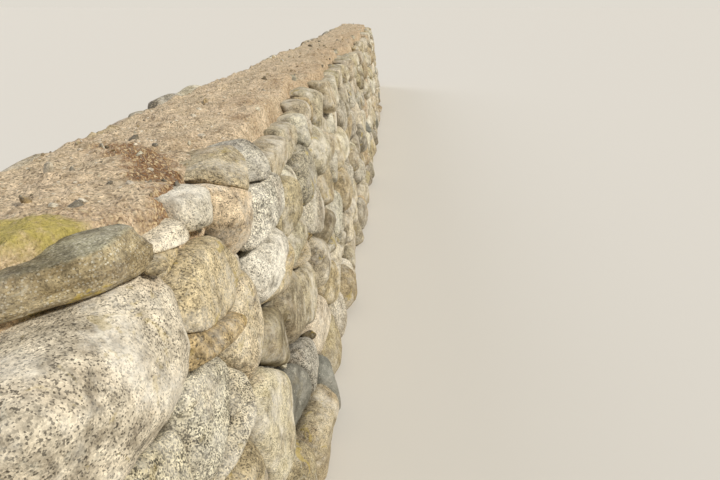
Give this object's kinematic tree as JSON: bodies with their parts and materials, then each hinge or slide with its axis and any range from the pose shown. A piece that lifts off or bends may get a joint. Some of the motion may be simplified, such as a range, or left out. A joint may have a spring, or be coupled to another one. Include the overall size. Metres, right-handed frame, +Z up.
{
  "type": "dry stone retaining wall",
  "caption": "Straight run of dry stone retaining wall in rounded granite field stones, with one leaning face, a plumb back and a rough flat top of stone and earth.",
  "frame": {"origin": "centre of the underside of the whole run, on the floor", "axes": "+X along the run, -Y out of the leaning face, +Z up"},
  "size_m": [12, 1.2068, 1.2943],
  "materials": {
    "field_stone": "matte",
    "footing_stone": "matte",
    "slab_stone": "matte",
    "packing_stone": "matte",
    "earth_crust": "matte"
  },
  "bodies": {
    "root": {"bay_1_footing_stones": "footing_stone", "bay_1_face_stones": "field_stone", "bay_1_edge_stones": "field_stone", "bay_1_edge_slab": "slab_stone", "bay_1_back_stones": "field_stone", "bay_1_hearting": "packing_stone", "bay_1_earth_crust": "earth_crust", "bay_2_footing_stones": "footing_stone", "bay_2_face_stones": "field_stone", "bay_2_edge_stones": "field_stone", "bay_2_edge_slab": "slab_stone", "bay_2_back_stones": "field_stone", "bay_2_hearting": "packing_stone", "bay_2_earth_crust": "earth_crust", "bay_3_footing_stones": "footing_stone", "bay_3_face_stones": "field_stone", "bay_3_edge_stones": "field_stone", "bay_3_edge_slab": "slab_stone", "bay_3_back_stones": "field_stone", "bay_3_hearting": "packing_stone", "bay_3_earth_crust": "earth_crust", "bay_4_footing_stones": "footing_stone", "bay_4_face_stones": "field_stone", "bay_4_edge_stones": "field_stone", "bay_4_edge_slab": "slab_stone", "bay_4_back_stones": "field_stone", "bay_4_hearting": "packing_stone", "bay_4_earth_crust": "earth_crust", "bay_5_footing_stones": "footing_stone", "bay_5_face_stones": "field_stone", "bay_5_edge_stones": "field_stone", "bay_5_edge_slab": "slab_stone", "bay_5_back_stones": "field_stone", "bay_5_hearting": "packing_stone", "bay_5_earth_crust": "earth_crust", "bay_6_footing_stones": "footing_stone", "bay_6_face_stones": "field_stone", "bay_6_edge_stones": "field_stone", "bay_6_edge_slab": "slab_stone", "bay_6_back_stones": "field_stone", "bay_6_hearting": "packing_stone", "bay_6_earth_crust": "earth_crust"}
  },
  "joints": []
}
